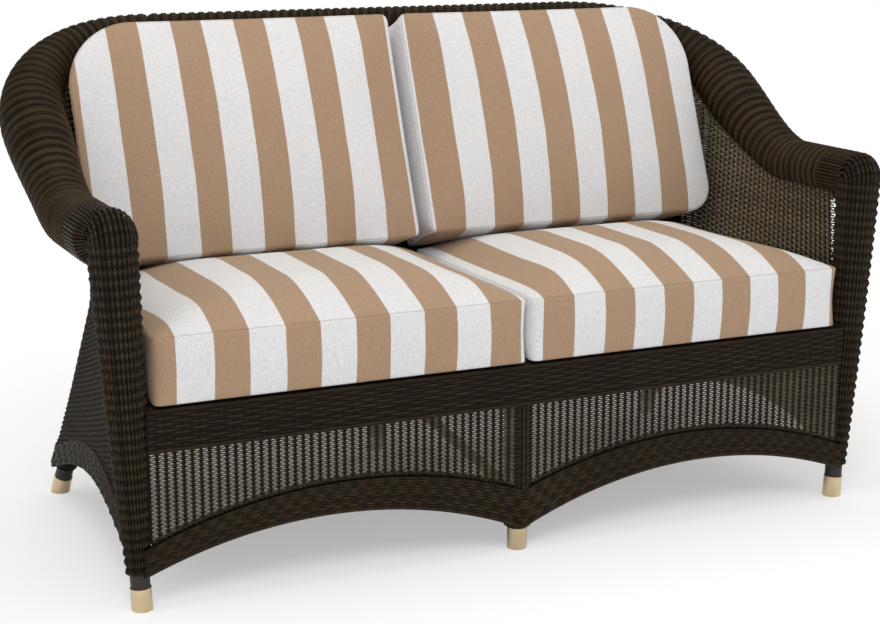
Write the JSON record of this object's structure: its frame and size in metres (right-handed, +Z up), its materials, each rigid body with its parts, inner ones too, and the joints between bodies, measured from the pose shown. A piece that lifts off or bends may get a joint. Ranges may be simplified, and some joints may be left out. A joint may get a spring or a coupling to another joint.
{
  "type": "patio loveseat",
  "caption": "Woven resin patio loveseat with rolled arms that rise into the back, an arched open-weave apron, capped legs and loose striped seat and back cushions.",
  "frame": {"origin": "on the floor under the middle of the loveseat", "axes": "-Y is the front, +X is the right-hand side as seen from the front, +Z is up"},
  "size_m": [1.44, 0.6915, 0.843],
  "materials": {
    "wicker": "woven resin strands, dark espresso brown with a slight satin sheen",
    "frame_tube": "dark brown powder coat",
    "foot_brass": "satin brass",
    "striped_fabric": "matte woven outdoor cloth in tan and off-white stripes",
    "webbing": "dark elastic webbing"
  },
  "bodies": {
    "frame": {"front_post_wrap_left": "wicker", "front_post_wrap_right": "wicker", "rear_post_wrap_left": "wicker", "rear_post_wrap_right": "wicker", "arm_roll_left": "wicker", "arm_roll_right": "wicker", "corner_roll_left": "wicker", "corner_roll_right": "wicker", "front_arch_border_left": "wicker", "front_arch_border_right": "wicker", "front_arch_cord_left": "wicker", "front_arch_cord_right": "wicker", "front_open_panel_left": "wicker", "front_open_panel_right": "wicker", "side_border_left": "wicker", "side_border_right": "wicker", "back_border_left": "wicker", "back_border_right": "wicker", "side_skirt_left": "wicker", "side_skirt_right": "wicker", "back_skirt_left": "wicker", "back_skirt_right": "wicker", "arm_panel_left": "wicker", "arm_panel_right": "wicker", "back_roll": "wicker", "back_panel": "wicker", "front_band": "wicker", "center_leg_wrap": "wicker", "front_leg_left": "frame_tube", "front_leg_right": "frame_tube", "rear_leg_left": "frame_tube", "rear_leg_right": "frame_tube", "seat_rail_side_left": "frame_tube", "seat_rail_side_right": "frame_tube", "top_tube": "frame_tube", "center_front_leg": "frame_tube", "center_rear_leg": "frame_tube", "seat_rail_front": "frame_tube", "seat_rail_rear": "frame_tube", "seat_rail_middle": "frame_tube", "center_stretcher": "frame_tube", "front_ferrule_left": "foot_brass", "front_ferrule_right": "foot_brass", "rear_ferrule_left": "foot_brass", "rear_ferrule_right": "foot_brass", "center_front_ferrule": "foot_brass", "center_rear_ferrule": "foot_brass", "seat_webbing": "webbing"},
    "seat_cushion_l": {"seat_cushion_left": "striped_fabric"},
    "seat_cushion_r": {"seat_cushion_right": "striped_fabric"},
    "back_cushion_l": {"back_cushion_left": "striped_fabric"},
    "back_cushion_r": {"back_cushion_right": "striped_fabric"}
  },
  "joints": [
    {"name": "seat_cushion_left_pull", "type": "slide", "parent": "frame", "child": "seat_cushion_l", "axis": [0, -1, 0], "range_m": [0, 0.3]},
    {"name": "seat_cushion_right_pull", "type": "slide", "parent": "frame", "child": "seat_cushion_r", "axis": [0, -1, 0], "range_m": [0, 0.3]},
    {"name": "back_cushion_left_lift", "type": "slide", "parent": "frame", "child": "back_cushion_l", "axis": [0, -0.866, 0.5], "range_m": [0, 0.3]},
    {"name": "back_cushion_right_lift", "type": "slide", "parent": "frame", "child": "back_cushion_r", "axis": [0, -0.866, 0.5], "range_m": [0, 0.3]}
  ]
}
